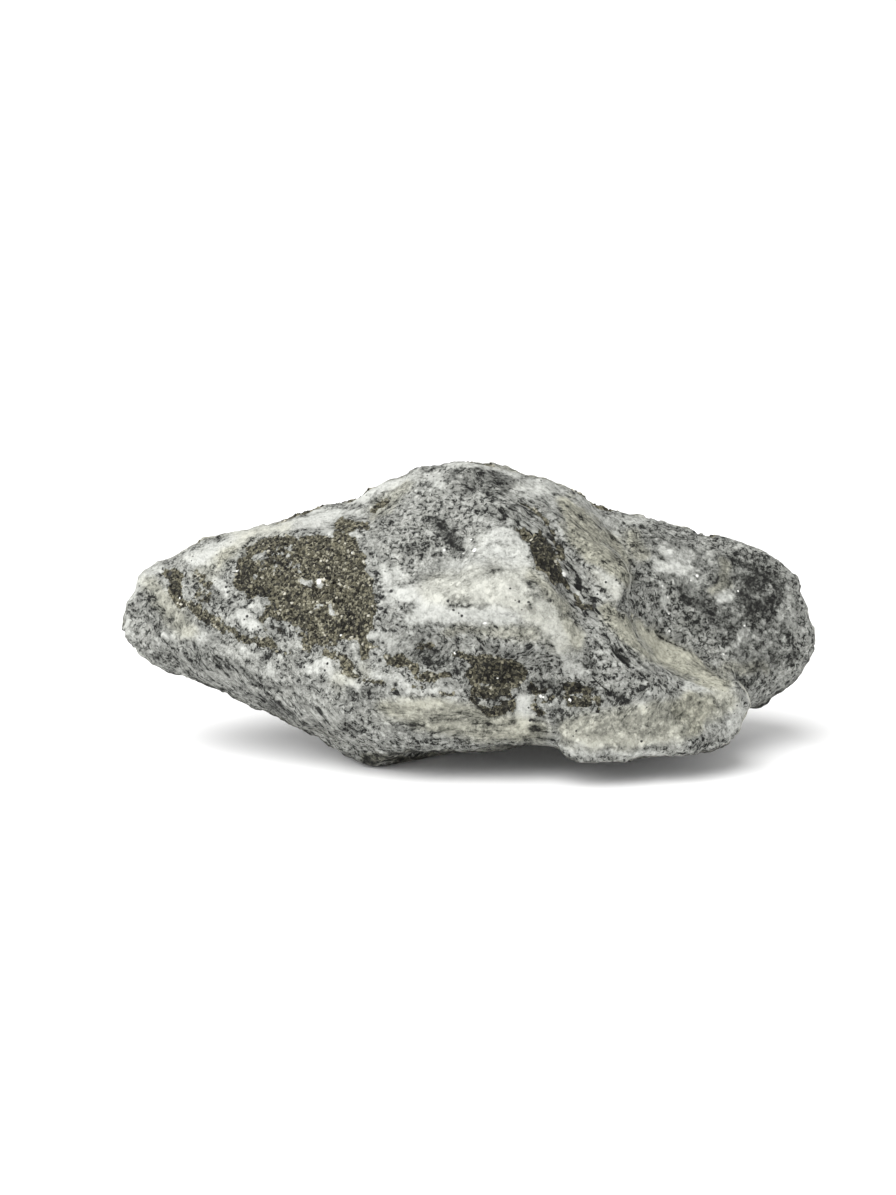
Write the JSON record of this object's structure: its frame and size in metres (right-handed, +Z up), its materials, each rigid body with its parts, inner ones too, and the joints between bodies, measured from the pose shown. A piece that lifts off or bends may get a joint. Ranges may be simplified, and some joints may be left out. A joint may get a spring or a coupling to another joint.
{
  "type": "rough lapis lazuli",
  "caption": "Rough unpolished lapis lazuli specimen: a long, low, tapering stone with a raised crown, mottled grey and white rock, calcite patches and crusts of pyrite grains",
  "frame": {"origin": "middle of the bounding box, at the level of the face that the stone rests on", "axes": "+X along the stone to its blunt end, +Y to its back, +Z up"},
  "size_m": [0.1318, 0.0614, 0.0549],
  "materials": {
    "stone": "rough broken rock, mottled grey and white, with pyrite grains"
  },
  "bodies": {
    "root": {"stone": "stone"}
  },
  "joints": []
}
